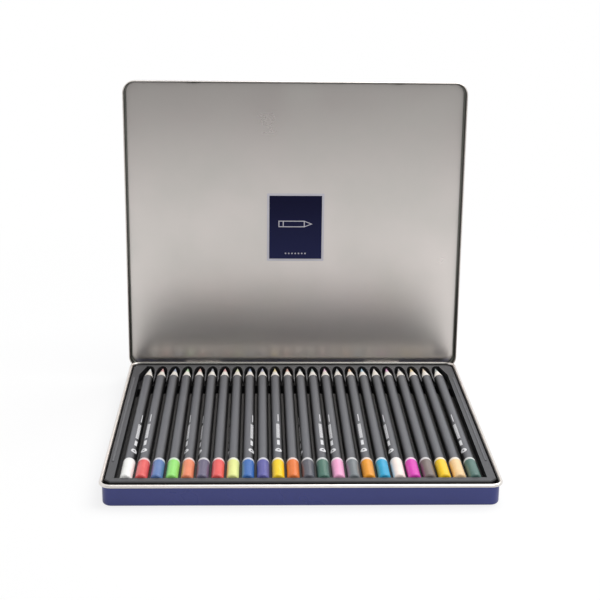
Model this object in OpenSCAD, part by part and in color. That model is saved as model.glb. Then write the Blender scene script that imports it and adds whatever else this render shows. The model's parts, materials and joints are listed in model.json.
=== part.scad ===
// Hinged tinplate tin with a lift-out formed tray of round colored pencils.
// The tin stands on its floor, the front faces -Y and the lid is drawn open.

/* [Tin] */
// Height of the base to the top of its rolled rim
rim_h = 13.5; // [13:0.1:16]
// Thickness of the tinplate
sheet = 0.3; // [0.25:0.05:0.4]
// Corner radius of the base wall, seen from above
corner_r = 5.5; // [4.5:0.5:12]
// Radius of the bend between floor and wall
foot_r = 1.5; // [1:0.1:2.5]
// Radius of the rolled rim
bead_r = 1; // [0.8:0.05:1.2]
// Slit between the end of the roll and the wall
bead_slit = 0.2; // [0.15:0.05:0.3]

/* [Lid] */
// Clearance between the rolled rim and the lid's skirt
lid_gap = 0.35; // [0.25:0.05:0.6]
// Clearance between the rolled rim and the closed lid
lid_head = 0.6; // [0.5:0.05:1.2]
// Radius of the bend between the lid's panel and skirt
lid_edge_r = 1.2; // [0.8:0.1:1.6]
// Height of the folded hem on the skirt
hem_h = 1.6; // [1.2:0.1:2]
// Gap inside the folded hem
hem_gap = 0.1; // [0.05:0.05:0.2]
// Angle of the open lid from its closed place
open_angle = 92; // [60:1:95]
// Clearance between the skirt and the rear wall, with the lid open
stop_gap = 0.15; // [0.1:0.05:0.4]

/* [Snap dimples] */
// Distance of each dimple from the tin's side wall
snap_inset = 43; // [20:1:56]
// Length of a dimple along the skirt
snap_w = 10.5; // [8:0.5:14]
// Depth of a dimple behind the skirt
snap_depth = 0.6; // [0.4:0.05:0.8]
// Clearance between the rim and a dimple, with the lid closed
snap_gap = 1; // [0.6:0.1:1.3]

/* [Hinges] */
// Distance of each hinge from the tin's side wall
hinge_inset = 48; // [28:1:54]
// Length of a hinge
hinge_len = 24; // [18:1:36]
// Number of knuckles on a hinge
knuckles = 5; // [3:2:7]
// Height of the hinge pins under the top of the rim
hinge_drop = 4.3; // [4:0.1:4.6]
// Outer radius of a knuckle
knuckle_r = 1.3; // [1.2:0.05:1.4]
// Diameter of a hinge pin
pin_d = 1.4; // [1.2:0.1:1.6]
// Radial clearance of a pin in its knuckles
pin_fit = 0.05; // [0.03:0.01:0.1]
// Clearance between neighbouring knuckles, and round the hinge in the skirt
knuckle_gap = 0.3; // [0.2:0.05:0.5]
// Thickness of a hinge leaf
leaf_t = 0.4; // [0.3:0.05:0.5]
// Height of the base leaf on the rear wall
leaf_h = 5; // [4:0.1:5.5]

/* [Tray] */
// Thickness of the formed tray sheet
tray_t = 0.5; // [0.4:0.05:0.7]
// Clearance between the tray and the side and rear walls
tray_gap = 0.4; // [0.3:0.05:1]
// Gap between the tray and the front wall, for a fingertip
front_gap = 6; // [3:0.1:6]
// Clearance between the tray's cut corners and the tin's round corners
corner_gap = 0.25; // [0.15:0.05:0.3]
// Clearance under the tray's lower edge
tray_seat = 0.2; // [0.1:0.05:0.3]
// Height of the rim above the tray's land
land_drop = 1.5; // [1.5:0.1:3]
// Width of the land in front of the pencils
land_front = 4.8; // [4:0.1:8]
// Width of the land behind the pencils
land_back = 3; // [2:0.1:6]
// Width of the land beside the pencils
land_side = 5.25; // [4:0.05:8]
// Bevel round the tray's upper edge
tray_bevel = 0.6; // [0.4:0.1:1]
// Width of the groove beside the outermost pencils
side_groove = 2.8; // [2.2:0.1:4]
// Height of the pencil axis above the ridge between that groove and the pencil
side_drop = 2.6; // [1.8:0.1:3]
// Radial clearance of a pencil in its trough
trough_gap = 0.3; // [0.2:0.05:0.4]
// Height of the pencil axis above the ridges between the troughs
ridge_drop = 1.4; // [1:0.1:2]
// Thickness of the fins between the pencils' pockets
fin_t = 0.9; // [0.8:0.05:1]
// Width of the channel across the tray, for the fingers
channel_w = 14; // [8:0.5:20]
// Distance of the channel from the rear end of the pencils
channel_back = 28.6; // [26:0.2:40]
// Clearance between the channel's floor and the tin's floor
channel_lift = 0.7; // [0.5:0.1:2]
// Length of the arched end of a tip pocket
arch_len = 12; // [8:0.5:14]
// Length of the taper on the fins between the pockets
fin_taper = 7; // [4:0.5:10]
// Width of a fin at its front end
fin_end = 0.3; // [0.2:0.05:0.5]
// Length of the slanted wall beside the outermost pockets
slant_len = 16; // [12:0.5:20]
// Distance from an outermost pencil's axis to the rear end of that wall
slant_in = 2.3; // [1.5:0.1:3]
// Distance of the stiffening ribs from the sides of the tray
rib_inset = 2.4; // [2:0.1:3]
// Width of a stiffening rib
rib_w = 1.4; // [1:0.1:2]
// Height of a stiffening rib
rib_h = 0.4; // [0.3:0.05:0.5]
// Distance of the stiffening ribs from the ends of the pencils
rib_end = 22; // [15:1:40]

/* [Pencils] */
// Number of pencils
pencils = 24; // [18:1:24]
// Length of a pencil
pencil_len = 175; // [150:1:200]
// Diameter of a pencil
pencil_d = 7; // [6.5:0.1:8]
// Height of the pencils above the top of the rim
pencil_proud = 0.2; // [-0.5:0.05:0.4]
// Clearance between the tray and each end of a pencil
end_gap = 0.6; // [0.3:0.05:1]
// Diameter of the coloured core
core_d = 3.3; // [2.8:0.1:4]
// Glue film round the core
core_fit = 0.05; // [0.02:0.01:0.08]
// Length of the sharpened cone
cone_len = 20; // [16:0.5:24]
// Radius of the core's point
point_r = 0.2; // [0.1:0.05:0.4]
// Length of the dipped end, with its ring
dip_len = 23; // [15:0.5:30]
// Length of the white ring
ring_len = 2.4; // [1:0.1:4]
// Radius of the dipped end's edge
dip_r = 1.2; // [0.6:0.1:2]
// Depth of the closed end behind the core
dip_floor = 1; // [0.5:0.1:2]

/* [Hidden] */
// Colours of the dipped ends and cores, from left to right
PAINTS = [
    "white", "lightcoral", "cornflowerblue", "lightgreen", "lightsalmon", "slateblue",
    "tomato", "khaki", "steelblue", "mediumpurple", "gold", "coral",
    "dimgray", "darkslategray", "plum", "slategray", "orange", "dodgerblue",
    "floralwhite", "orchid", "rosybrown", "gold", "navajowhite", "cadetblue",
];
function two_digits(i) = str(i < 9 ? "0" : "", i + 1);
function casing_name(i) = str("pencil_", two_digits(i), "_casing");
function core_name(i) = str("pencil_", two_digits(i), "_core");

$fn = 48;
eps = 0.01;

pencil_r = pencil_d / 2;
pencil_z = rim_h + pencil_proud - pencil_r;
core_r = core_d / 2;
bore_r = core_r + core_fit;
// Distance from the blunt end at which the cone is as thin as the core
core_y = pencil_len - cone_len * (core_r - point_r) / (pencil_r - point_r);
trough_r = pencil_r + trough_gap;
pitch = 2 * trough_r + fin_t;
first_x = -pitch * (pencils - 1) / 2;
last_x = -first_x;

// The tin takes its size from the pencils and the tray's lands
recess_x = last_x + pencil_r + side_groove;
tray_x = recess_x + land_side;
tin_w = 2 * (tray_x + tray_gap + sheet);
tin_d = pencil_len + 2 * end_gap + land_front + land_back + front_gap + tray_gap + 2 * sheet;
tray_y0 = -(tin_d / 2 - sheet - front_gap);
tray_y1 = tin_d / 2 - sheet - tray_gap;
tray_mid = (tray_y0 + tray_y1) / 2;
tray_half = (tray_y1 - tray_y0) / 2;
recess_y0 = tray_y0 + land_front;
recess_y1 = tray_y1 - land_back;
pencil_y0 = recess_y0 + end_gap;

corner_x = tin_w / 2 - corner_r;
corner_y = tin_d / 2 - corner_r;
bead_u = corner_r - sheet + bead_r;
bead_z = rim_h - bead_r;

lid_in = bead_u + bead_r + lid_gap;
lid_out = lid_in + sheet;
hem_out = lid_out + hem_gap + sheet;
hem_r = (hem_out - lid_in) / 2;
lid_top = rim_h + lid_head + sheet;
lid_front = corner_y + lid_in;

snap_x = tin_w / 2 - snap_inset;
hinge_x = tin_w / 2 - hinge_inset;
hinge_y = corner_y + (lid_in + lid_out) / 2;
hinge_z = rim_h - hinge_drop;
// The open skirt's edge swings under the rim to the rear wall, which stops the lid
skirt_h = lid_top - hinge_z + hinge_y - tin_d / 2 - stop_gap;
skirt_z = lid_top - skirt_h;
knuckle_len = hinge_len / knuckles;
notch_top = hinge_z + knuckle_r + knuckle_gap;

// The tray's lower edge stands on the bend between floor and wall, nearest at its cut corners
inner_r = corner_r - sheet;
bend_r = foot_r - sheet;
tray_corner = inner_r - tray_gap - sqrt((inner_r - corner_gap) ^ 2 - (inner_r - tray_gap) ^ 2);
tray_z = foot_r - sqrt(bend_r ^ 2 - (bend_r - corner_gap) ^ 2) + tray_seat;
land_z = rim_h - land_drop;
ridge_z = pencil_z - ridge_drop;
trough_z = pencil_z - trough_r;
pan_z = trough_z - tray_t;
channel_z = sheet + channel_lift;
channel_y1 = recess_y1 - channel_back;
channel_y0 = channel_y1 - channel_w;
groove_x = last_x + trough_r + tray_t;

function pencil_x(i) = first_x + i * pitch;

// Sweeps a profile round the tin's plan; its x is measured outwards from the corner centres
module round_plan() {
    for (side = [0 : 3]) {
        across = side % 2 == 0 ? corner_x : corner_y;
        along = side % 2 == 0 ? corner_y : corner_x;
        rotate([0, 0, 90 * side]) {
            translate([across, 0, 0])
                rotate([90, 0, 0])
                linear_extrude(2 * along, center = true)
                children();
            translate([across, along, 0])
                rotate_extrude(angle = 90)
                children();
        }
    }
}

module floor_plate(z) {
    translate([-corner_x, -corner_y, z])
        cube([2 * corner_x, 2 * corner_y, sheet]);
}

// Quarter bend of sheet metal, centred on its bend axis and open towards +x and one side of y
module quarter_bend(r, up) {
    intersection() {
        difference() {
            circle(r);
            circle(r - sheet);
        }
        translate([0, up ? 0 : -r])
            square(r);
    }
}

module base_profile() {
    square([corner_r - foot_r, sheet]);
    translate([corner_r - foot_r, foot_r])
        quarter_bend(foot_r, false);
    translate([corner_r - sheet, foot_r])
        square([sheet, bead_z - foot_r]);
    translate([bead_u, bead_z])
        difference() {
            circle(bead_r);
            circle(bead_r - sheet);
            translate([-bead_r, -bead_r])
                square([sheet + bead_slit, bead_r]);
        }
}

module base_shell() {
    color("midnightblue") {
        round_plan() base_profile();
        floor_plate(0);
    }
}

module lid_profile() {
    bend = lid_out - lid_edge_r;
    translate([0, lid_top - sheet])
        square([bend, sheet]);
    translate([bend, lid_top - lid_edge_r])
        quarter_bend(lid_edge_r, true);
    translate([lid_in, skirt_z + hem_r])
        square([sheet, skirt_h - lid_edge_r - hem_r]);
    translate([lid_in + hem_r, skirt_z + hem_r])
        intersection() {
            circle(hem_r);
            translate([-hem_r, -hem_r])
                square([2 * hem_r, hem_r]);
        }
    translate([hem_out - sheet, skirt_z + hem_r])
        square([sheet, hem_h - hem_r]);
}

// Pressed pocket in the front skirt, its back a shallow arc that catches under the rim
module snap_form(grow) {
    snap_r = (snap_w * snap_w / 4 + snap_depth * snap_depth) / (2 * snap_depth);
    top = bead_z - bead_r - snap_gap;
    bottom = skirt_z + hem_h;
    intersection() {
        translate([0, -lid_front + snap_depth - snap_r, bottom - grow])
            cylinder(r = snap_r + grow, h = top - bottom + 2 * grow, $fn = 180);
        translate([-snap_w, -lid_front - sheet - eps * (sheet - grow) / sheet, 0])
            cube([2 * snap_w, snap_depth + 2 * sheet, rim_h]);
    }
}

module lid_closed() {
    difference() {
        union() {
            round_plan() lid_profile();
            floor_plate(lid_top - sheet);
            for (side = [-1, 1])
                translate([side * snap_x, 0, 0]) snap_form(sheet);
        }
        for (side = [-1, 1]) {
            translate([side * snap_x, 0, 0]) snap_form(0);
            translate([side * hinge_x - hinge_len / 2 - knuckle_gap, corner_y, skirt_z - eps])
                cube([hinge_len + 2 * knuckle_gap, hem_out + eps, notch_top - skirt_z + eps]);
        }
    }
}

// Turns a piece of the closed lid to the open lid's place
module opened() {
    translate([0, hinge_y, hinge_z])
        rotate([-open_angle, 0, 0])
        translate([0, -hinge_y, -hinge_z])
        children();
}

module lid_shell() {
    color("silver") opened() lid_closed();
}

// Rolled knuckles of one leaf; first is 0 for the base leaf and 1 for the lid leaf
module knuckle_rolls(first) {
    for (k = [first : 2 : knuckles - 1])
        translate([(k - knuckles / 2) * knuckle_len + knuckle_gap / 2, hinge_y, hinge_z])
            rotate([0, 90, 0])
            cylinder(r = knuckle_r, h = knuckle_len - knuckle_gap);
}

module knuckle_bore() {
    translate([-hinge_len, hinge_y, hinge_z])
        rotate([0, 90, 0])
        cylinder(r = pin_d / 2 + pin_fit, h = 2 * hinge_len);
}

module base_leaf() {
    wall_y = tin_d / 2;
    strap_z = hinge_z - pin_d / 2 - pin_fit - leaf_t;
    color("silver") difference() {
        union() {
            knuckle_rolls(0);
            translate([-hinge_len / 2, wall_y, strap_z + leaf_t - leaf_h])
                cube([hinge_len, leaf_t, leaf_h]);
            for (k = [0 : 2 : knuckles - 1])
                translate([(k - knuckles / 2) * knuckle_len + knuckle_gap / 2, wall_y, strap_z])
                    cube([knuckle_len - knuckle_gap, hinge_y - wall_y, leaf_t]);
        }
        knuckle_bore();
    }
}

module lid_leaf() {
    skirt_y = corner_y + lid_out;
    plate_top = lid_top - lid_edge_r;
    color("silver") opened() difference() {
        union() {
            knuckle_rolls(1);
            translate([-hinge_len / 2, skirt_y, notch_top])
                cube([hinge_len, leaf_t, plate_top - notch_top]);
            for (k = [1 : 2 : knuckles - 1])
                translate([(k - knuckles / 2) * knuckle_len + knuckle_gap / 2, skirt_y, hinge_z + pin_d / 2])
                    cube([knuckle_len - knuckle_gap, leaf_t, notch_top - hinge_z]);
        }
        knuckle_bore();
    }
}

module hinge_pin() {
    color("lightgray")
        translate([-hinge_len / 2, hinge_y, hinge_z])
        rotate([0, 90, 0])
        cylinder(d = pin_d, h = hinge_len);
}

// Block with cut corners and a bevelled upper edge, drawn in from the tray's outline by inset
module tray_block(inset, bottom, top) {
    cut_half = (tray_x + tray_half - tray_corner) / sqrt(2);
    translate([0, tray_mid, 0])
        intersection_for(side = [[0, tray_x], [90, tray_half], [45, cut_half], [-45, cut_half]]) {
            half = side[1] - inset;
            rotate([90, 0, side[0]])
                linear_extrude(4 * tray_x, center = true)
                polygon([
                    [-half, bottom], [half, bottom], [half, top - tray_bevel],
                    [half - tray_bevel, top], [tray_bevel - half, top], [-half, top - tray_bevel],
                ]);
        }
}

// Room for one pencil in the tray, seen along the pencil: round below its axis, straight above
module trough_hole(r) {
    circle(r);
    translate([-r, 0])
        square([2 * r, rim_h]);
}

// Cross-section of the troughs from bottom to top, with or without the hollows under the ridges
module trough_section(bottom, top, hollow) {
    difference() {
        translate([-recess_x - tray_t, bottom])
            square([2 * (recess_x + tray_t), top - bottom]);
        for (i = [0 : pencils - 1])
            translate([pencil_x(i), pencil_z]) trough_hole(trough_r);
        for (side = [-1, 1]) {
            translate([side > 0 ? groove_x : -recess_x, trough_z])
                square([recess_x - groove_x, rim_h]);
            translate([side > 0 ? last_x : -recess_x, pencil_z - side_drop])
                square([recess_x - last_x, rim_h]);
        }
        if (hollow)
            difference() {
                translate([first_x, bottom - tray_t])
                    square([last_x - first_x, top - bottom]);
                for (i = [0 : pencils - 1])
                    translate([pencil_x(i), pencil_z]) trough_hole(trough_r + tray_t);
            }
    }
}

module along_y(y0, y1) {
    translate([0, y1, 0])
        rotate([90, 0, 0])
        linear_extrude(y1 - y0)
        children();
}

// Plan of the solid round the pocket ends: arched at the pencils, slanted beside the outermost
module arch_plan() {
    step = 18;
    difference() {
        translate([first_x, recess_y1 - arch_len])
            square([last_x - first_x, arch_len + tray_t]);
        for (i = [0 : pencils - 1])
            translate([pencil_x(i), recess_y1 - arch_len])
                polygon([for (a = [0 : step : 180]) [trough_r * cos(a), arch_len * sin(a)]]);
        for (i = [0 : pencils - 1])
            translate([pencil_x(i) - trough_r, recess_y1 - arch_len - tray_t])
                square([2 * trough_r, tray_t]);
    }
    back = tray_t / 2;
    for (side = [-1, 1])
        polygon([
            [side * (last_x + slant_in), recess_y1 + back], [side * (last_x + slant_in), recess_y1],
            [side * recess_x, recess_y1 - slant_len], [side * (recess_x + back), recess_y1 - slant_len],
            [side * (recess_x + back), recess_y1 + back],
        ]);
}

// Plan of the wedge cut off the fins beside one pencil
module fin_cut_plan() {
    wide = (pitch - fin_end) / 2;
    polygon([[-wide, -eps], [wide, -eps], [trough_r, fin_taper], [-trough_r, fin_taper]]);
}

module trough_pan() {
    along_y(recess_y0 - tray_t, channel_y0) trough_section(pan_z, ridge_z, true);
    along_y(channel_y0 - tray_t, channel_y0) trough_section(channel_z, ridge_z, false);
    difference() {
        union() {
            along_y(channel_y1, recess_y1 + tray_t) trough_section(pan_z, land_z, true);
            along_y(channel_y1, channel_y1 + tray_t) trough_section(channel_z, land_z, false);
        }
        for (i = [0 : pencils - 1])
            translate([pencil_x(i), channel_y1, ridge_z])
                linear_extrude(rim_h)
                fin_cut_plan();
    }
    translate([0, 0, pan_z])
        linear_extrude(land_z - pan_z)
        arch_plan();
    translate([-recess_x - tray_t, channel_y0 - tray_t, channel_z])
        cube([2 * (recess_x + tray_t), channel_w + 2 * tray_t, tray_t]);
}

module recess_walls() {
    difference() {
        translate([-recess_x - tray_t, recess_y0 - tray_t, pan_z])
            cube([2 * (recess_x + tray_t), recess_y1 - recess_y0 + 2 * tray_t, land_z - pan_z]);
        translate([-recess_x, recess_y0, pan_z - eps])
            cube([2 * recess_x, recess_y1 - recess_y0, land_z]);
    }
    for (side = [-1, 1])
        translate([side > 0 ? recess_x : -recess_x - tray_t, channel_y0 - tray_t, channel_z])
            cube([tray_t, channel_w + 2 * tray_t, land_z - channel_z]);
}

// Shallow rounded rib along the land beside the pencils
module side_rib(x) {
    r = (rib_w * rib_w / 4 + rib_h * rib_h) / (2 * rib_h);
    y0 = recess_y0 + rib_end;
    y1 = recess_y1 - rib_end;
    along_y(y0, y1) intersection() {
        translate([x, land_z + rib_h - r]) circle(r);
        translate([x - rib_w, land_z - tray_t / 2])
            square([2 * rib_w, tray_t / 2 + 2 * rib_h]);
    }
}

module tray() {
    color([0.1, 0.1, 0.11]) {
        difference() {
            tray_block(0, tray_z, land_z);
            tray_block(tray_t, tray_z - tray_t, land_z - tray_t);
            translate([-recess_x, recess_y0, 0])
                cube([2 * recess_x, recess_y1 - recess_y0, rim_h]);
        }
        for (side = [-1, 1])
            side_rib(side * (tray_x - rib_inset));
        recess_walls();
        trough_pan();
    }
}

// Revolves a profile about the pencil's axis, its y running from the blunt end to the point
module pencil_turn(i) {
    translate([pencil_x(i), pencil_y0, pencil_z])
        rotate([-90, 0, 0])
        rotate_extrude($fn = 32)
        children();
}

// Wooden body between two distances from the blunt end, before its bore
module casing_zone(y0, y1) {
    intersection() {
        union() {
            translate([0, dip_r])
                square([pencil_r, pencil_len - cone_len - dip_r]);
            square([pencil_r - dip_r, dip_r]);
            translate([pencil_r - dip_r, dip_r])
                intersection() {
                    circle(dip_r);
                    translate([0, -dip_r])
                        square(dip_r);
                }
            polygon([
                [0, pencil_len - cone_len], [pencil_r, pencil_len - cone_len],
                [core_r, core_y], [0, core_y],
            ]);
        }
        translate([0, y0])
            square([pencil_r, y1 - y0]);
    }
}

module bore_cut() {
    difference() {
        children();
        translate([-eps, dip_floor])
            square([bore_r + eps, pencil_len]);
    }
}

module casing(i) {
    ring_y = dip_len - ring_len;
    color(PAINTS[i]) pencil_turn(i) bore_cut() casing_zone(0, ring_y);
    color("white") pencil_turn(i) bore_cut() casing_zone(ring_y, dip_len);
    color("dimgray") pencil_turn(i) bore_cut() casing_zone(dip_len, pencil_len - cone_len);
    color("wheat") pencil_turn(i) bore_cut() casing_zone(pencil_len - cone_len, core_y);
}

module core(i) {
    color(PAINTS[i]) pencil_turn(i)
        polygon([
            [0, dip_floor], [core_r, dip_floor], [core_r, core_y],
            [point_r, pencil_len], [0, pencil_len],
        ]);
}

base_shell();
lid_shell();
tray();
translate([-hinge_x, 0, 0]) base_leaf();  // left_hinge_base_leaf
translate([-hinge_x, 0, 0]) lid_leaf();  // left_hinge_lid_leaf
translate([-hinge_x, 0, 0]) hinge_pin();  // left_hinge_pin
translate([hinge_x, 0, 0]) base_leaf();  // right_hinge_base_leaf
translate([hinge_x, 0, 0]) lid_leaf();  // right_hinge_lid_leaf
translate([hinge_x, 0, 0]) hinge_pin();  // right_hinge_pin
for (i = [0 : pencils - 1]) {
    casing(i);
    core(i);
}
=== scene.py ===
"""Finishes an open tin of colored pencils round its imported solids.

The tin stands on its floor at the origin, its front faces -Y and its lid is open.
"""

import json
import math

import bmesh
import bpy
from bpy.props import FloatProperty, FloatVectorProperty, IntProperty, PointerProperty
from mathutils import Matrix, Vector


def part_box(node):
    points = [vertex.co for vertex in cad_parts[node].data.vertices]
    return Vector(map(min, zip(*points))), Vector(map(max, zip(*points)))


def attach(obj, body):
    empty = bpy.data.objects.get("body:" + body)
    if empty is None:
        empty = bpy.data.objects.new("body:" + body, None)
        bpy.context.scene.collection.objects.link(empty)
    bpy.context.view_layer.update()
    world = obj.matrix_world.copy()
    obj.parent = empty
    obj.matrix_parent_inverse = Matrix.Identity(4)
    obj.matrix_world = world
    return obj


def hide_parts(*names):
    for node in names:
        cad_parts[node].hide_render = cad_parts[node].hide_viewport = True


bl_info = {
    "name": "Colored Pencil Tin",
    "version": (1, 0, 0),
    "blender": (4, 5, 0),
    "location": "View3D > Sidebar > Pencil Tin",
    "description": "Finishes an open tin of round colored pencils",
    "category": "Object",
}

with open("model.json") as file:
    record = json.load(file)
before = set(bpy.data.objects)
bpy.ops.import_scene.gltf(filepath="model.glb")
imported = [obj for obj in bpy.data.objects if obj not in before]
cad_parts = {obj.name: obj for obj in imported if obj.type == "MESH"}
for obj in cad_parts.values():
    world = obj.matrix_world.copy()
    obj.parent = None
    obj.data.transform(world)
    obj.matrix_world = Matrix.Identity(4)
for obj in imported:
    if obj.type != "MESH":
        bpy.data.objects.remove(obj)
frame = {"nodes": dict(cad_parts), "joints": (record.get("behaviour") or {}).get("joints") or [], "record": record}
joints = {joint["name"]: joint for joint in frame["joints"]}
bodies = frame["record"]["behaviour"]["bodies"]
pencil_bodies = sorted(name for name in bodies if name.startswith("pencil_"))

MM = 0.001
DEGREE = math.pi / 180
HINGE = Vector(joints["lid_hinge"]["pos_m"])
OPEN_ANGLE = -joints["lid_hinge"]["range_deg"][0] * DEGREE
BASE_LOW, BASE_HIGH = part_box("base_shell")
TRAY_LOW, TRAY_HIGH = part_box("tray")
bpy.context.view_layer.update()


def closed(point):
    """A point of the open lid at its place on the closed lid."""
    return Matrix.Rotation(OPEN_ANGLE, 3, "X") @ (Vector(point) - HINGE) + HINGE


LID_EDGE = min(closed(vertex.co).z for vertex in frame["nodes"]["lid_shell"].data.vertices)

# Each pencil from left to right: the colour of its dipped end and core, and how far its print
# has rolled from the top towards the right, in degrees
PENCILS = (
    ("white", "f1f2ef", 35),
    ("coral_red", "e15755", -20),
    ("cornflower", "5576af", 175),
    ("light_green", "91de6e", 150),
    ("salmon_orange", "e8855e", -45),
    ("purple_grey", "625c76", -60),
    ("signal_red", "e75856", 160),
    ("pale_yellow", "e3e992", -85),
    ("mid_blue", "2e68b2", 35),
    ("violet", "5959a0", 170),
    ("golden_yellow", "f7d008", 10),
    ("orange", "e37630", 190),
    ("slate", "54555f", -80),
    ("forest_green", "436e61", 15),
    ("rose_pink", "f0a5cd", -35),
    ("steel_grey", "71787d", 180),
    ("amber", "e9981c", -15),
    ("sky_blue", "23a3cf", 165),
    ("cream", "f7e8e0", -40),
    ("magenta", "db3bb5", 185),
    ("taupe", "756865", 170),
    ("lemon_yellow", "f7c908", 160),
    ("peach", "f2ce9a", 175),
    ("olive_grey", "4a6d66", -35),
)


def paint(code, alpha=1.0):
    """A paint chip's sRGB code as a linear colour."""
    channels = [int(code[i : i + 2], 16) / 255 for i in (0, 2, 4)]
    linear = [c / 12.92 if c < 0.04045 else ((c + 0.055) / 1.055) ** 2.4 for c in channels]
    return (*linear, alpha)


class TinSettings(bpy.types.PropertyGroup):
    """Sheet metal of the base and lid."""

    sheet: FloatProperty(
        name="Sheet", description="Thickness of the tinplate", default=0.3 * MM, unit="LENGTH"
    )
    rim_radius: FloatProperty(
        name="Rim Radius", description="Radius of the rolled rim", default=1.0 * MM, unit="LENGTH"
    )
    corner_radius: FloatProperty(
        name="Corner Radius",
        description="Radius of the base wall's corners",
        default=5.5 * MM,
        unit="LENGTH",
    )
    foot_radius: FloatProperty(
        name="Foot Radius",
        description="Radius between wall and floor",
        default=1.5 * MM,
        unit="LENGTH",
    )
    lid_gap: FloatProperty(
        name="Lid Gap",
        description="Clearance between rim and skirt",
        default=0.35 * MM,
        unit="LENGTH",
    )
    lid_head: FloatProperty(
        name="Lid Head",
        description="Clearance between rim and closed lid",
        default=0.6 * MM,
        unit="LENGTH",
    )
    lid_edge_radius: FloatProperty(
        name="Lid Edge Radius",
        description="Radius between the lid's panel and skirt",
        default=1.2 * MM,
        unit="LENGTH",
    )
    enamel: FloatVectorProperty(
        name="Enamel",
        description="Paint outside the tin",
        subtype="COLOR",
        size=4,
        default=paint("2e377c"),
    )
    bare_metal: FloatVectorProperty(
        name="Bare Metal",
        description="Tinplate inside the lid and along the rim",
        subtype="COLOR",
        size=4,
        default=paint("e3dcd8"),
    )
    # The shaded metal is tinplate colour painted darker as painted shade: on the lid skirt's inner face, the
    # panel's edge, inside the base and along the rear rim.
    dull_metal: FloatVectorProperty(
        name="Shaded Metal",
        description="Tinplate on the inner face of the lid's skirt",
        subtype="COLOR",
        size=4,
        default=paint("63645f"),
    )
    hem_height: FloatProperty(
        name="Hem Height", description="Height of the folded hem", default=1.6 * MM, unit="LENGTH"
    )


class LabelSettings(bpy.types.PropertyGroup):
    """Printed patch inside the lid."""

    width: FloatProperty(
        name="Width", description="Width of the patch", default=38.4 * MM, unit="LENGTH"
    )
    height: FloatProperty(
        name="Height", description="Height of the patch", default=46.4 * MM, unit="LENGTH"
    )
    shift: FloatProperty(
        name="Shift",
        description="Distance of the patch from the lid's middle towards the hinges",
        default=0.1 * MM,
        unit="LENGTH",
    )
    slide: FloatProperty(
        name="Slide",
        description="Distance of the patch from the lid's middle to the right",
        default=0.8 * MM,
        unit="LENGTH",
    )
    border: FloatProperty(
        name="Border", description="Width of its pale outline", default=1.5 * MM, unit="LENGTH"
    )
    corner: FloatProperty(
        name="Corner", description="Radius of its corners", default=0.6 * MM, unit="LENGTH"
    )
    thickness: FloatProperty(
        name="Thickness", description="Thickness of its ink", default=0.05 * MM, unit="LENGTH"
    )
    ink: FloatVectorProperty(
        name="Ink",
        description="Colour of the patch",
        subtype="COLOR",
        size=4,
        default=paint("02032a"),
    )
    line: FloatVectorProperty(
        name="Line",
        description="Colour of its outline",
        subtype="COLOR",
        size=4,
        default=paint("cfcdd6"),
    )


class PencilSettings(bpy.types.PropertyGroup):
    """Shape of a casing; its overall size comes from the solids."""

    dip_length: FloatProperty(
        name="Dip Length",
        description="Length of the dipped end, with its ring",
        default=23 * MM,
        unit="LENGTH",
    )
    ring_length: FloatProperty(
        name="Ring Length", description="Length of the white ring", default=2.4 * MM, unit="LENGTH"
    )
    edge_radius: FloatProperty(
        name="Edge Radius", description="Radius of the blunt end", default=1.2 * MM, unit="LENGTH"
    )
    wood_length: FloatProperty(
        name="Wood Length",
        description="Length of bare wood on the cone",
        default=10.91 * MM,
        unit="LENGTH",
    )
    core_fit: FloatProperty(
        name="Core Fit",
        description="Glue film round the core",
        default=0.05 * MM,
        unit="LENGTH",
    )
    paint_depth: FloatProperty(
        name="Paint Depth",
        description="Thickness of the dipped paint",
        default=0.06 * MM,
        unit="LENGTH",
    )
    sides: IntProperty(name="Sides", description="Facets round a pencil", default=48, min=12)
    lacquer: FloatVectorProperty(
        name="Lacquer",
        description="Colour of the barrels",
        subtype="COLOR",
        size=4,
        default=paint("0b0b0d"),
    )
    # Painted highlight: this lighter colour is painted along the top of the barrels, and the darker lacquer on
    # their sides is painted shade.
    rubbed_lacquer: FloatVectorProperty(
        name="Highlight Lacquer",
        description="Colour along the top of the barrels, where handling dulls it",
        subtype="COLOR",
        size=4,
        default=paint("64656a"),
    )
    wood: FloatVectorProperty(
        name="Wood",
        description="Colour of the bare wood",
        subtype="COLOR",
        size=4,
        default=paint("faf7f2"),
    )
    print_ink: FloatVectorProperty(
        name="Print",
        description="Colour of the barrels' print",
        subtype="COLOR",
        size=4,
        default=paint("d8d8da"),
    )


class StageSettings(bpy.types.PropertyGroup):
    """Camera and lights."""

    camera_place: FloatVectorProperty(
        name="Camera Place",
        description="Where the camera stands",
        subtype="TRANSLATION",
        unit="LENGTH",
        default=(-0.0241, -0.7411, 0.3252),
    )
    camera_yaw: FloatProperty(
        name="Yaw", description="Camera's turn to the right", default=1.93 * DEGREE, unit="ROTATION"
    )
    camera_pitch: FloatProperty(
        name="Pitch", description="Camera's tilt down", default=17.67 * DEGREE, unit="ROTATION"
    )
    camera_roll: FloatProperty(
        name="Roll", description="Camera's roll", default=0.71 * DEGREE, unit="ROTATION"
    )
    focal_pixels: FloatProperty(
        name="Focal Length", description="Focal length in pixels of the picture", default=1294.9
    )
    picture_pixels: IntProperty(
        name="Picture", description="Width of the picture in pixels", default=600
    )
    daylight: FloatProperty(
        name="Daylight", description="Strength of the white surroundings", default=0.5
    )
    key_power: FloatProperty(
        name="Key Light", description="Power of the large lamp overhead", default=12, unit="POWER"
    )
    fill_power: FloatProperty(
        name="Fill Light", description="Power of the lamp in front", default=4, unit="POWER"
    )


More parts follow.
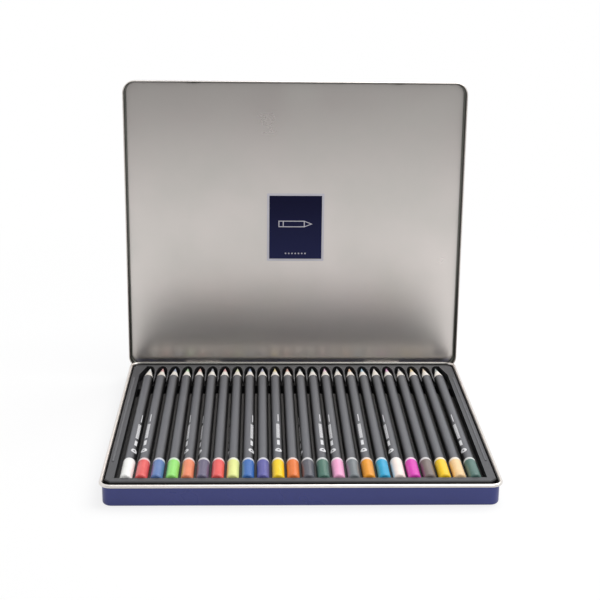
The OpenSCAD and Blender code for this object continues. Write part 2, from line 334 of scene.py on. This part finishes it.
class Wire:
    """A socket of a node tree, which takes part in plain arithmetic."""

    def __init__(self, graph, socket):
        self.graph = graph
        self.socket = socket

    def math(self, operation, *others):
        values = dict(enumerate((self, *others)))
        return self.graph.node("ShaderNodeMath", {"operation": operation}, values)

    def _after(self, operation, other):
        return self.graph.node("ShaderNodeMath", {"operation": operation}, {0: other, 1: self})

    def __add__(self, other):
        return self.math("ADD", other)

    def __radd__(self, other):
        return self._after("ADD", other)

    def __sub__(self, other):
        return self.math("SUBTRACT", other)

    def __rsub__(self, other):
        return self._after("SUBTRACT", other)

    def __mul__(self, other):
        return self.math("MULTIPLY", other)

    def __rmul__(self, other):
        return self._after("MULTIPLY", other)

    def __truediv__(self, other):
        return self.math("DIVIDE", other)

    def __rtruediv__(self, other):
        return self._after("DIVIDE", other)

    def __pow__(self, other):
        return self.math("POWER", other)

    def __neg__(self):
        return self * -1

    def __abs__(self):
        return self.math("ABSOLUTE")

    def larger(self, other):
        return self.math("MAXIMUM", other)

    def smaller(self, other):
        return self.math("MINIMUM", other)

    def over(self, limit, soft):
        """0 below a limit and 1 above it, with a soft step."""
        return self.graph.node(
            "ShaderNodeMapRange",
            {"interpolation_type": "SMOOTHSTEP"},
            {"Value": self, "From Min": limit - soft, "From Max": limit + soft},
        )

    def between(self, low, high, soft):
        return self.over(low, soft) * (1 - self.over(high, soft))

    def out(self, name):
        """Another output of the same node."""
        return Wire(self.graph, self.socket.node.outputs[name])

    def axes(self):
        parts = self.graph.node("ShaderNodeSeparateXYZ", {}, {0: self})
        return parts, parts.out("Y"), parts.out("Z")


class Graph:
    """A node tree of a material or of geometry."""

    def __init__(self, tree):
        self.tree = tree

    def node(self, kind, settings=(), inputs=(), output=0):
        """Makes a node, sets it up, feeds its sockets and gives one of its outputs."""
        made = self.tree.nodes.new(kind)
        for name, value in dict(settings).items():
            if name == "stops":
                self._set_stops(made.color_ramp, value)
            else:
                setattr(made, name, value)
        for name, value in dict(inputs).items():
            if isinstance(value, Wire):
                self.tree.links.new(value.socket, made.inputs[name])
            else:
                made.inputs[name].default_value = value
        return Wire(self, made.outputs[output]) if made.outputs else made

    @staticmethod
    def _set_stops(ramp, stops):
        for position, colour in stops[2:]:
            ramp.elements.new(position)
        for element, (position, colour) in zip(ramp.elements, sorted(stops)):
            element.position = position
            element.color = colour

    def mix(self, factor, first, second):
        """A colour between two colours."""
        return self.node(
            "ShaderNodeMix", {"data_type": "RGBA"}, {0: factor, 6: first, 7: second}, output=2
        )

    def noise(self, coordinates, scale, detail=2.0, roughness=0.5):
        return self.node(
            "ShaderNodeTexNoise",
            {},
            {"Vector": coordinates, "Scale": scale, "Detail": detail, "Roughness": roughness},
        )

    def seen_directly(self):
        """1 for rays from the camera, off gloss or through glass, 0 for rays that light the scene."""
        rays = self.node("ShaderNodeLightPath")
        seen = rays.out("Is Camera Ray").larger(rays.out("Is Glossy Ray"))
        return seen.larger(rays.out("Is Transmission Ray"))

    def stretched(self, coordinates, scale):
        return self.node("ShaderNodeMapping", {}, {"Vector": coordinates, "Scale": scale})

    def bump(self, height, strength, distance):
        return self.node(
            "ShaderNodeBump", {}, {"Height": height, "Strength": strength, "Distance": distance}
        )


class Finish(Graph):
    """A material with one glossy shader, whose sockets are set by name."""

    def __init__(self, name):
        self.material = bpy.data.materials.new(name)
        self.material.use_nodes = True
        super().__init__(self.material.node_tree)
        self.shader = self.tree.nodes["Principled BSDF"]

    def place(self):
        return self.node("ShaderNodeTexCoord", output="Object")

    def pattern(self):
        return self.node("ShaderNodeTexCoord", output="UV")

    def shade(self, **sockets):
        for name, value in sockets.items():
            socket = self.shader.inputs[name.replace("_", " ").title().replace("Ior", "IOR")]
            if isinstance(value, Wire):
                self.tree.links.new(value.socket, socket)
            else:
                socket.default_value = value
        return self.material


def reach(across, along):
    """Signed distance from a corner's two faces: round outside the corner, flat inside."""
    outside = (across.larger(0) ** 2 + along.larger(0) ** 2).math("SQRT")
    return outside + across.larger(along).smaller(0)


def corner_spread(x, y, tin):
    """Distance outwards from the centres of the tin's four plan corners."""
    wall = BASE_HIGH.x + tin.sheet - 2 * tin.rim_radius
    depth = BASE_HIGH.y + tin.sheet - 2 * tin.rim_radius
    return reach(abs(x) - (wall - tin.corner_radius), abs(y) - (depth - tin.corner_radius))


def enamel_or_metal(finish, painted, painted_shade, tin, place):
    """Enamel where painted is 1, satin tinplate where it is 0, and tinplate darkened as painted shade where the
    shade mask is 1.
    """
    cloud = finish.noise(place, 26, 3)
    speck = finish.noise(place, 1400, 2)
    brushed = finish.noise(finish.stretched(place, (40, 420, 420)), 1, 2)
    enamel = finish.mix(cloud.over(0.5, 0.3) * 0.35, tin.enamel, paint("262e6c"))
    metal = finish.mix(cloud.over(0.5, 0.35) * 0.4, tin.bare_metal, paint("d0d1ca"))
    # Painted shade: the tinplate darkens towards the shaded metal colour where the shade mask is 1.
    metal = finish.mix(painted_shade, metal, tin.dull_metal)
    cloudiness = 0.08
    speck_height, brushed_height = 0.35, 0.06
    metal_gloss = 0.25 + cloudiness * cloud + 0.01 * brushed
    enamel_gloss = 0.24 + cloudiness * cloud
    height = painted * speck * speck_height + (1 - painted) * brushed * brushed_height
    return finish.shade(
        base_color=finish.mix(painted, metal, enamel),
        metallic=1 - painted,
        roughness=painted * enamel_gloss + (1 - painted) * metal_gloss,
        normal=finish.bump(height, 0.25, 0.05 * MM),
    )


def base_finish(tin):
    """Navy enamel outside the base, bare tinplate inside it and on its rolled rim, with painted shade on its inner
    faces and along the rear of the rim.
    """
    finish = Finish("base_tin")
    place = finish.place()
    x, y, z = place.axes()
    spread = corner_spread(x, y, tin)
    bend = tin.corner_radius - tin.foot_radius
    shell = reach(spread - bend, tin.foot_radius - z)
    under_rim = BASE_HIGH.z - 2 * tin.rim_radius
    bare = z.over(under_rim, 0.06 * MM)
    painted = shell.over(tin.foot_radius - tin.sheet / 2, 0.02 * MM) * (1 - bare)
    # Painted shade: the bare tinplate inside the base is darkened, and the rear of the rim more, below the open
    # lid.
    inside = (1 - bare) * (1 - painted)
    rear_rim_shade = bare * y.over(BASE_HIGH.y - 2.5 * MM, 0.5 * MM)
    return enamel_or_metal(finish, painted, inside * 0.6 + rear_rim_shade * 0.8, tin, place)


def lid_finish(tin):
    """Navy enamel outside the lid, bare tinplate on its hem and inside it, with painted shade on the skirt's inner
    face and along the panel's edge.
    """
    finish = Finish("lid_tin")
    place = finish.place()
    x, y, z = place.axes()
    back, up = y - HINGE.y, z - HINGE.z
    closed_y = back * math.cos(OPEN_ANGLE) - up * math.sin(OPEN_ANGLE) + HINGE.y
    closed_z = back * math.sin(OPEN_ANGLE) + up * math.cos(OPEN_ANGLE) + HINGE.z
    spread = corner_spread(x, closed_y, tin)
    skirt = tin.corner_radius - tin.sheet + 2 * tin.rim_radius + tin.lid_gap + tin.sheet
    top = BASE_HIGH.z + tin.lid_head + tin.sheet
    shell = reach(spread - (skirt - tin.lid_edge_radius), closed_z - (top - tin.lid_edge_radius))
    hem_top = LID_EDGE + tin.hem_height + 0.1 * MM
    outside_skirt = spread.over(skirt + 0.05 * MM, 0.03 * MM)
    fold = 1 - closed_z.over(LID_EDGE + 0.3 * MM, 0.05 * MM)
    hem = outside_skirt.larger(fold) * (1 - closed_z.over(hem_top, 0.05 * MM))
    painted = shell.over(tin.lid_edge_radius - tin.sheet / 2, 0.02 * MM) * (1 - hem)
    # Painted shade on the skirt's inner face and on a band of the panel beside it.
    skirt_shade = spread.over(skirt - 1.5 * MM, 0.5 * MM) * (1 - hem) * (1 - painted)
    return enamel_or_metal(finish, painted, skirt_shade, tin, place)


def tray_finish():
    """Black vacuum-formed sheet, satin on top and duller on its stretched walls; the walls and troughs below the
    land are painted near black as painted shade.
    """
    finish = Finish("tray_plastic")
    place = finish.place()
    z = place.axes()[2]
    grain = finish.noise(place, 2200, 2)
    cloud = finish.noise(place, 40, 2)
    on_land = z.over(TRAY_HIGH.z - 0.4 * MM, 0.3 * MM)
    # Painted shade: the walls and troughs below the land are painted near black, much darker than the land.
    colour = finish.mix(on_land * 0.85 + cloud * 0.1, paint("060608"), paint("58595e"))
    return finish.shade(
        base_color=colour,
        roughness=0.5 - on_land * 0.08 + cloud * 0.06,
        specular_ior_level=0.5,
        normal=finish.bump(grain, 0.3, 0.04 * MM),
    )


def steel_finish(name, code, roughness):
    """Plain steel with drawn marks along the hinge."""
    finish = Finish(name)
    place = finish.place()
    marks = finish.noise(finish.stretched(place, (100, 3000, 3000)), 1, 2)
    return finish.shade(
        base_color=finish.mix(marks * 0.5, paint(code), paint("8c8a88")),
        metallic=1.0,
        roughness=roughness + marks * 0.1,
        normal=finish.bump(marks, 0.2, 0.02 * MM),
    )


def print_mask(finish, turn, along, radius):
    """Where the barrel's print lies: a dot, a bar and a ruler of plain ticks."""
    side = (turn - 0.5) * (2 * math.pi * radius)
    soft = 0.05 * MM
    dot_middle = 33.6 * MM
    dot = (side**2 + ((along - dot_middle) / 1.15) ** 2).math("SQRT")
    disc_radius, hole_radius = 2.1 * MM, 0.7 * MM
    disc = (1 - dot.over(disc_radius, soft)) * dot.over(hole_radius, soft)
    bar_half_width = 0.85 * MM
    bar = along.between(41 * MM, 47.6 * MM, soft) * (1 - abs(side).over(bar_half_width, soft))
    tick_pitch = 1.5 * MM
    tick = abs((along / tick_pitch).math("FRACT") - 0.5)
    tick_half_length = 1.0 * MM
    ticks = (1 - tick.over(0.36, 0.04)) * (1 - abs(side).over(tick_half_length, soft))
    ruler = along.between(51 * MM, 72 * MM, soft) * ticks
    end_bar_side, end_bar_half_width = 0.35 * MM, 0.3 * MM
    end_bar_stripe = 1 - abs(side - end_bar_side).over(end_bar_half_width, soft)
    end_bar = along.between(76 * MM, 87 * MM, soft) * end_bar_stripe
    return disc.larger(bar).larger(ruler).larger(end_bar)


def lacquer_finish(pencil, first_axis, pitch, radius):
    """Black lacquer with a painted highlight along the top and painted shade down the sides, and a pale generic
    print round each casing.
    """
    finish = Finish("barrel_lacquer")
    turn, along, _ = finish.pattern().axes()
    place = finish.place()
    x, _, z = place.axes()
    ripple = finish.noise(finish.stretched(place, (500, 60, 500)), 1, 2)
    cloud = finish.noise(place, 90, 2)
    across = ((x - first_axis.x) / pitch + 0.5).math("FRACT") - 0.5
    lean = 0.08
    upward = ((z - first_axis.z) - across * (pitch * lean)) / radius
    # Painted highlight along the barrels' upward faces, with painted shade down their sides.
    top_highlight = upward.over(0.76, 0.24) * (0.92 + cloud * 0.2)
    lacquer = finish.mix(top_highlight, pencil.lacquer, pencil.rubbed_lacquer)
    worn = finish.noise(place, 2600, 2).over(0.3, 0.1)
    ink = print_mask(finish, turn, along, radius) * worn
    return finish.shade(
        base_color=finish.mix(ink, lacquer, pencil.print_ink),
        roughness=0.42 + cloud * 0.08 + ink * 0.1,
        specular_ior_level=0.25,
        normal=finish.bump(ripple, 0.12, 0.06 * MM),
    )


def blend(first, second, share):
    """A colour that is mixed from two paints."""
    return tuple(a + (b - a) * share for a, b in zip(first, second))


def dip_finish(name, colour):
    """Dipped paint, a touch deeper in colour where it ran thick."""
    finish = Finish(name)
    place = finish.place()
    cloud = finish.noise(place, 160, 2)
    deep = blend(colour, (0, 0, 0, 1), 0.18)
    return finish.shade(
        base_color=finish.mix(cloud.over(0.5, 0.3) * 0.5, colour, deep),
        roughness=0.3 + cloud * 0.1,
        normal=finish.bump(finish.noise(place, 420, 2), 0.1, 0.08 * MM),
    )


def core_finish(name, colour):
    """Waxy core, scored round by the sharpener."""
    finish = Finish(name)
    place = finish.place()
    y = place.axes()[1]
    speck = finish.noise(place, 3200, 3)
    score = (y / (0.12 * MM) + speck * 1.5).math("SINE")
    pale = blend(colour, (1, 1, 1, 1), 0.25)
    return finish.shade(
        base_color=finish.mix(speck.over(0.55, 0.2) * 0.5, colour, pale),
        roughness=0.42 + speck * 0.2,
        normal=finish.bump(score * 0.5 + speck, 0.3, 0.03 * MM),
    )


def wood_finish(pencil):
    """Pale sharpened wood with fine grain along the pencil."""
    finish = Finish("cone_wood")
    place = finish.place()
    grain = finish.noise(finish.stretched(place, (2200, 90, 2200)), 1, 4, 0.6)
    ring = finish.noise(finish.stretched(place, (420, 20, 420)), 1, 2)
    return finish.shade(
        base_color=finish.mix(
            grain.over(0.55, 0.15) * 0.5 + ring.over(0.55, 0.1) * 0.25, pencil.wood, paint("e2d2bc")
        ),
        roughness=0.62 + grain * 0.2,
        normal=finish.bump(grain, 0.35, 0.05 * MM),
    )


def drawn_pencil(x, y):
    """Lines of a plain pencil that points to the right."""
    half_width = ((11.5 * MM - x) * 0.4).smaller(2.2 * MM)
    inside = half_width - abs(y)
    body = inside.over(0, 0.06 * MM) * x.over(-11.5 * MM, 0.06 * MM)
    hollow = inside.over(0.55 * MM, 0.06 * MM) * x.over(-10.9 * MM, 0.06 * MM)
    cap_line = x.between(-8.6 * MM, -8 * MM, 0.06 * MM)
    cone_line = x.between(5.6 * MM, 6.2 * MM, 0.06 * MM)
    return body * (1 - hollow * (1 - cap_line.larger(cone_line)))


def label_finish(label):
    """Dark patch with a pale outline, a plain drawn pencil and a row of dots."""
    finish = Finish("label_ink")
    x, y, _ = finish.pattern().axes()
    place = finish.place()
    edge = reach(abs(x) - (label.width / 2 - label.corner), abs(y) - (label.height / 2 - label.corner))
    outline = edge.over(label.corner - label.border, 0.04 * MM)
    stroke = drawn_pencil(x, y - 2.4 * MM)
    dot_pitch, dot_row, dot_radius, row_half_length = 2.2 * MM, 18 * MM, 0.5 * MM, 7.7 * MM
    column = (x / dot_pitch + 0.5).math("FRACT") - 0.5
    dot = ((column * dot_pitch) ** 2 + (y + dot_row) ** 2).math("SQRT")
    dots = (1 - dot.over(dot_radius, 0.06 * MM)) * (1 - abs(x).over(row_half_length, 0.1 * MM))
    ink = finish.mix(y.over(0, label.height * 0.6), paint("20244c"), label.ink)
    speck = finish.noise(place, 900, 2)
    return finish.shade(
        base_color=finish.mix(outline.larger(stroke).larger(dots), ink, label.line),
        roughness=0.42 + speck * 0.08,
        specular_ior_level=0.15,
        normal=finish.bump(speck, 0.1, 0.02 * MM),
    )


def swap_materials(piece, *materials):
    piece.data.materials.clear()
    for material in materials:
        piece.data.materials.append(material)


def opened(point):
    """A point of the closed lid at its place on the open lid."""
    turned = Matrix.Rotation(-OPEN_ANGLE, 3, "X") @ (Vector(point) - HINGE)
    return turned + HINGE


class CasingTree(Graph):
    """Geometry nodes that turn a pencil casing about its axis."""

    sizes = (
        "Barrel Radius",
        "Barrel Length",
        "Dip Length",
        "Ring Length",
        "Edge Radius",
        "Wood Length",
        "Bore Radius",
        "Paint Depth",
        "Blind End",
        "Roll",
    )
    coats = ("Dip Paint", "Ring Paint", "Lacquer", "Wood")

    def __init__(self, sides):
        super().__init__(bpy.data.node_groups.new("turned_casing", "GeometryNodeTree"))
        face = self.tree.interface
        face.new_socket("Geometry", in_out="OUTPUT", socket_type="NodeSocketGeometry")
        for name in self.sizes:
            face.new_socket(name, in_out="INPUT", socket_type="NodeSocketFloat")
        face.new_socket("Blunt End", in_out="INPUT", socket_type="NodeSocketVector")
        for name in self.coats:
            face.new_socket(name, in_out="INPUT", socket_type="NodeSocketMaterial")
        self.given = self.node("NodeGroupInput")
        self.sides = sides
        self.build()

    def size(self, name):
        return self.given.out(name)

    def stretches(self):
        """The casing's outline as steps, run along the pencil, rise from its axis and coat."""
        radius, depth = self.size("Barrel Radius"), self.size("Paint Depth")
        edge, ring, dip = self.size("Edge Radius"), self.size("Ring Length"), self.size("Dip Length")
        wood, bore = self.size("Wood Length"), self.size("Bore Radius")
        length, blind = self.size("Barrel Length"), self.size("Blind End")
        lip = 0.12 * MM
        barrel = radius - depth
        return (
            (2, 0, radius - edge, False, 0),
            (6, edge, edge, True, 0),
            (4, dip - ring - edge - lip, 0, False, 0),
            (1, lip, depth * 0.4, False, 1),
            (2, ring - 2 * lip, 0, False, 1),
            (2, lip * 2, depth * -1.4, False, 1),
            (8, length - dip, 0, False, 2),
            (6, wood, bore - barrel, False, 3),
            (2, blind - length - wood, 0, False, 3),
            (1, 0, -bore, False, 3),
        )

    def build(self):
        stretches = self.stretches()
        total = sum(stretch[0] for stretch in stretches)
        grid = self.node(
            "GeometryNodeMeshGrid",
            {},
            {"Size X": 1, "Size Y": 1, "Vertices X": total + 1, "Vertices Y": self.sides + 1},
        )
        step, turn, _ = grid.out("UV Map").axes()
        step = step * total
        along, radius, start = 0, 0, 0
        ends = {}
        for count, run, rise, rounded, coat in stretches:
            share = self.node(
                "ShaderNodeMapRange", {}, {"Value": step, "From Min": start, "From Max": start + count}
            )
            lengthwise = 1 - (share * (math.pi / 2)).math("COSINE") if rounded else share
            outward = (share * (math.pi / 2)).math("SINE") if rounded else share
            along = lengthwise * run + along
            radius = outward * rise + radius
            start += count
            ends[coat] = start
        angle = turn * (2 * math.pi) + self.size("Roll") + math.pi
        position = self.node(
            "ShaderNodeCombineXYZ",
            {},
            {"X": radius * angle.math("SINE"), "Y": along, "Z": radius * angle.math("COSINE")},
        )
        pattern = self.node("ShaderNodeCombineXYZ", {}, {"X": turn, "Y": along})
        mapped = self.node(
            "GeometryNodeStoreNamedAttribute",
            {"data_type": "FLOAT2", "domain": "CORNER"},
            {"Geometry": grid, "Name": "UVMap", "Value": pattern},
        )
        turned = self.node("GeometryNodeSetPosition", {}, {"Geometry": mapped, "Position": position})
        placed = self.node(
            "GeometryNodeSetPosition", {}, {"Geometry": turned, "Offset": self.size("Blunt End")}
        )
        closed_up = self.node(
            "GeometryNodeMergeByDistance", {}, {"Geometry": placed, "Distance": 0.001 * MM}
        )
        smooth = self.node("GeometryNodeSetShadeSmooth", {}, {"Geometry": closed_up})
        coated = self.node("GeometryNodeRealizeInstances", {}, {"Geometry": smooth})
        for index, name in enumerate(self.coats):
            first = ends[index - 1] if index else -1
            coated = self.node(
                "GeometryNodeSetMaterial",
                {},
                {
                    "Geometry": coated,
                    "Selection": step.math("GREATER_THAN", first),
                    "Material": self.given.out(name),
                },
            )
        self.node("NodeGroupOutput", {}, {"Geometry": coated})


def grown(tree, name, values):
    """The plain mesh that a geometry tree makes from its named inputs, as a new object."""
    seed = bpy.data.objects.new(name, bpy.data.meshes.new(name))
    bpy.context.scene.collection.objects.link(seed)
    modifier = seed.modifiers.new(name, "NODES")
    modifier.node_group = tree
    for item in tree.interface.items_tree:
        if item.item_type == "SOCKET" and item.in_out == "INPUT":
            modifier[item.identifier] = values[item.name]
    bpy.context.view_layer.update()
    evaluated = seed.evaluated_get(bpy.context.evaluated_depsgraph_get())
    mesh = bpy.data.meshes.new_from_object(evaluated)
    seed.modifiers.clear()
    seed.data = mesh
    mesh.name = name
    return seed


class PENCILTIN_OT_tin(bpy.types.Operator):
    """Finish the base and the lid as enamelled tinplate"""

    bl_idname = "pencil_tin.tin"
    bl_label = "Finish Base and Lid"

    def execute(self, context):
        tin = context.scene.pencil_tin
        swap_materials(frame["nodes"]["base_shell"], base_finish(tin))
        swap_materials(frame["nodes"]["lid_shell"], lid_finish(tin))
        return {"FINISHED"}


class PENCILTIN_OT_hinges(bpy.types.Operator):
    """Finish the hinge leaves and pins as steel"""

    bl_idname = "pencil_tin.hinges"
    bl_label = "Finish Hinges"

    def execute(self, context):
        leaf = steel_finish("hinge_leaf_steel", "c9c6c2", 0.34)
        pin = steel_finish("hinge_pin_steel", "b4b2b0", 0.26)
        for side in ("left", "right"):
            swap_materials(frame["nodes"][f"{side}_hinge_base_leaf"], leaf)
            swap_materials(frame["nodes"][f"{side}_hinge_lid_leaf"], leaf)
            swap_materials(frame["nodes"][f"{side}_hinge_pin"], pin)
        return {"FINISHED"}


class PENCILTIN_OT_label(bpy.types.Operator):
    """Print the dark patch inside the lid"""

    bl_idname = "pencil_tin.label"
    bl_label = "Add Lid Patch"

    def execute(self, context):
        tin = context.scene.pencil_tin
        label = context.scene.pencil_tin_label
        panel = BASE_HIGH.z + tin.lid_head
        half_x = label.width / 2 - label.corner
        half_y = label.height / 2 - label.corner
        arc_steps = 6
        outline = []
        for quarter, (sx, sy) in enumerate(((1, 1), (-1, 1), (-1, -1), (1, -1))):
            for step in range(arc_steps + 1):
                angle = (quarter + step / arc_steps) * math.pi / 2
                x = sx * half_x + label.corner * math.cos(angle)
                y = sy * half_y + label.corner * math.sin(angle)
                outline.append((x, y))
        form = bmesh.new()
        pattern = form.loops.layers.uv.new("UVMap")
        back = [form.verts.new((label.slide + x, label.shift + y, panel)) for x, y in outline]
        front = [form.verts.new((vert.co.x, vert.co.y, panel - label.thickness)) for vert in back]
        form.faces.new(back)
        form.faces.new(reversed(front))
        for i in range(len(outline)):
            j = (i + 1) % len(outline)
            form.faces.new((back[j], back[i], front[i], front[j]))
        for face in form.faces:
            for loop in face.loops:
                loop[pattern].uv = (loop.vert.co.x - label.slide, label.shift - loop.vert.co.y)
        for vertex in form.verts:
            vertex.co = opened(vertex.co)
        bmesh.ops.recalc_face_normals(form, faces=form.faces)
        mesh = bpy.data.meshes.new("lid_patch")
        form.to_mesh(mesh)
        form.free()
        piece = bpy.data.objects.new("lid_patch", mesh)
        context.scene.collection.objects.link(piece)
        swap_materials(piece, label_finish(label))
        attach(piece, "lid")
        return {"FINISHED"}


class PENCILTIN_OT_tray(bpy.types.Operator):
    """Finish the formed tray as black plastic"""

    bl_idname = "pencil_tin.tray"
    bl_label = "Finish Tray"

    def execute(self, context):
        swap_materials(frame["nodes"]["tray"], tray_finish())
        return {"FINISHED"}


class PENCILTIN_OT_pencils(bpy.types.Operator):
    """Turn the casings, dip their ends and finish the cores"""

    bl_idname = "pencil_tin.pencils"
    bl_label = "Add Pencils"

    def execute(self, context):
        pencil = context.scene.pencil_tin_pencils
        low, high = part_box("pencil_01_casing")
        core_low, core_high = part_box("pencil_01_core")
        radius = (high.z - low.z) / 2
        first_axis = (low + high) / 2
        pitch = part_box("pencil_02_casing")[0].x - low.x
        tree = CasingTree(pencil.sides).tree
        lacquer = lacquer_finish(pencil, first_axis, pitch, radius)
        wood = wood_finish(pencil)
        sizes = {
            "Barrel Radius": radius,
            "Barrel Length": high.y - low.y - pencil.wood_length,
            "Dip Length": pencil.dip_length,
            "Ring Length": pencil.ring_length,
            "Edge Radius": pencil.edge_radius,
            "Wood Length": pencil.wood_length,
            "Bore Radius": (core_high.z - core_low.z) / 2 + pencil.core_fit,
            "Paint Depth": pencil.paint_depth,
            "Blind End": core_low.y - low.y,
            "Lacquer": lacquer,
            "Wood": wood,
        }
        for body, (colour, code, roll) in zip(pencil_bodies, PENCILS):
            low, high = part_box(f"{body}_casing")
            axis = (low + high) / 2
            casing = grown(
                tree,
                f"{body}_turned_casing",
                {
                    **sizes,
                    "Roll": roll * DEGREE,
                    "Blunt End": (axis.x, low.y, axis.z),
                    "Dip Paint": dip_finish(f"{body}_{colour}_dip", paint(code)),
                    "Ring Paint": dip_finish(f"{body}_ring", blend(paint(code), paint("ececec"), 0.7)),
                },
            )
            chalky = blend(paint(code), (0.9, 0.9, 0.9, 1), 0.45)
            casing.data.set_sharp_from_angle(angle=35 * DEGREE)
            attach(casing, body)
            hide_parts(f"{body}_casing")
            swap_materials(frame["nodes"][f"{body}_core"], core_finish(f"{body}_{colour}_core", chalky))
        return {"FINISHED"}


class PENCILTIN_OT_stage(bpy.types.Operator):
    """Set up the floor, the lamps, the surroundings and the camera"""

    bl_idname = "pencil_tin.stage"
    bl_label = "Add Stage"

    def add_floor(self, context):
        mesh = bpy.data.meshes.new("floor")
        half = 3.0
        drop = -0.05 * MM
        corners = [(x * half, y * half, drop) for x, y in ((-1, -1), (1, -1), (1, 1), (-1, 1))]
        mesh.from_pydata(corners, [], [(0, 1, 2, 3)])
        floor = bpy.data.objects.new("floor", mesh)
        context.scene.collection.objects.link(floor)
        finish = Finish("floor_paper")
        seen = finish.seen_directly()
        shade = finish.shade(base_color=paint("f2f2f2"), roughness=0.9)
        distance = finish.node(
            "ShaderNodeVectorMath", {"operation": "LENGTH"}, {0: finish.place()}, output=1
        )
        near_glow = 0.8
        share = seen * (near_glow + distance.over(0.42, 0.16) * 0.2)
        glow = finish.node("ShaderNodeEmission", {}, {"Color": (1, 1, 1, 1), "Strength": 1.0})
        mixed = finish.node(
            "ShaderNodeMixShader",
            {},
            {0: share, 1: Wire(finish, finish.shader.outputs[0]), 2: glow},
        )
        finish.tree.links.new(mixed.socket, finish.tree.nodes["Material Output"].inputs["Surface"])
        swap_materials(floor, shade)

    def add_card(self, context, name, corners):
        """A black card in front of the tin and out of the picture, which its metal reflects."""
        mesh = bpy.data.meshes.new(name)
        mesh.from_pydata(corners, [], [(0, 1, 2, 3)])
        card = bpy.data.objects.new(name, mesh)
        context.scene.collection.objects.link(card)
        card.visible_camera = False
        finish = Finish(name + "_paper")
        fibre = finish.noise(finish.place(), 60, 2)
        colour = finish.mix(fibre * 0.5, paint("2a2a2c"), paint("1c1c1e"))
        swap_materials(card, finish.shade(base_color=colour, roughness=0.9))

    def add_surroundings(self, context, stage):
        world = bpy.data.worlds.new("surroundings")
        world.use_nodes = True
        context.scene.world = world
        seen = Graph(world.node_tree).seen_directly()
        background = world.node_tree.nodes["Background"]
        strength = stage.daylight + seen * (1 - stage.daylight)
        world.node_tree.links.new(strength.socket, background.inputs["Strength"])
        background.inputs["Color"].default_value = (1, 1, 1, 1)

    def add_lamp(self, context, name, place, target, size, power):
        lamp = bpy.data.lights.new(name, "AREA")
        lamp.shape = "RECTANGLE"
        lamp.size, lamp.size_y = size
        lamp.energy = power
        holder = bpy.data.objects.new(name, lamp)
        context.scene.collection.objects.link(holder)
        holder.location = place
        aim = Vector(target) - Vector(place)
        holder.rotation_euler = aim.to_track_quat("-Z", "Y").to_euler()

    def add_camera(self, context, stage):
        yaw, pitch, roll = stage.camera_yaw, stage.camera_pitch, stage.camera_roll
        flat = math.cos(pitch)
        ahead = Vector((math.sin(yaw) * flat, math.cos(yaw) * flat, -math.sin(pitch)))
        level = Vector((math.cos(yaw), -math.sin(yaw), 0))
        upright = level.cross(ahead)
        right = level * math.cos(roll) + upright * math.sin(roll)
        up = upright * math.cos(roll) - level * math.sin(roll)
        lens = bpy.data.cameras.new("camera")
        lens.sensor_width = 36
        lens.lens = lens.sensor_width * stage.focal_pixels / stage.picture_pixels
        camera = bpy.data.objects.new("camera", lens)
        context.scene.collection.objects.link(camera)
        turn = Matrix((right, up, -ahead)).transposed().to_4x4()
        camera.matrix_world = Matrix.Translation(stage.camera_place) @ turn
        context.scene.camera = camera

    def execute(self, context):
        stage = context.scene.pencil_tin_stage
        self.add_floor(context)
        self.add_surroundings(context, stage)
        key_place, key_size = (0.4, 0.2, 1.05), (1.1, 0.9)
        self.add_lamp(context, "key_lamp", key_place, (0, 0, 0), key_size, stage.key_power)
        fill_place, fill_size = (0.35, -1.3, 0.75), (0.9, 0.6)
        self.add_lamp(context, "fill_lamp", fill_place, (0, 0, 0.08), fill_size, stage.fill_power)
        half, front, height = 1.6, -1.2, 0.5
        corners = [(-half, front, 0), (half, front, 0), (half, front, height), (-half, front, height)]
        self.add_card(context, "front_card", corners)
        self.add_camera(context, stage)
        context.scene.view_settings.view_transform = "Standard"
        return {"FINISHED"}


class PENCILTIN_PT_panel(bpy.types.Panel):
    """Sidebar panel of the pencil tin"""

    bl_idname = "PENCILTIN_PT_panel"
    bl_label = "Pencil Tin"
    bl_space_type = "VIEW_3D"
    bl_region_type = "UI"
    bl_category = "Pencil Tin"

    def draw(self, context):
        layout = self.layout
        for settings in SETTINGS:
            group = getattr(context.scene, settings)
            for name in group.__annotations__:
                layout.prop(group, name)
        for operator in OPERATORS:
            layout.operator(operator.bl_idname)


SETTINGS = {
    "pencil_tin": TinSettings,
    "pencil_tin_label": LabelSettings,
    "pencil_tin_pencils": PencilSettings,
    "pencil_tin_stage": StageSettings,
}
OPERATORS = (
    PENCILTIN_OT_stage,
    PENCILTIN_OT_tin,
    PENCILTIN_OT_hinges,
    PENCILTIN_OT_label,
    PENCILTIN_OT_tray,
    PENCILTIN_OT_pencils,
)


def register():
    for name, group in SETTINGS.items():
        bpy.utils.register_class(group)
        setattr(bpy.types.Scene, name, PointerProperty(type=group))
    for operator in OPERATORS:
        bpy.utils.register_class(operator)
    bpy.utils.register_class(PENCILTIN_PT_panel)


def unregister():
    bpy.utils.unregister_class(PENCILTIN_PT_panel)
    for operator in reversed(OPERATORS):
        bpy.utils.unregister_class(operator)
    for name, group in SETTINGS.items():
        delattr(bpy.types.Scene, name)
        bpy.utils.unregister_class(group)


def main():
    register()
    bpy.ops.pencil_tin.stage()
    bpy.ops.pencil_tin.tin()
    bpy.ops.pencil_tin.hinges()
    bpy.ops.pencil_tin.label()
    bpy.ops.pencil_tin.tray()
    bpy.ops.pencil_tin.pencils()


if __name__ == "__main__":
    main()
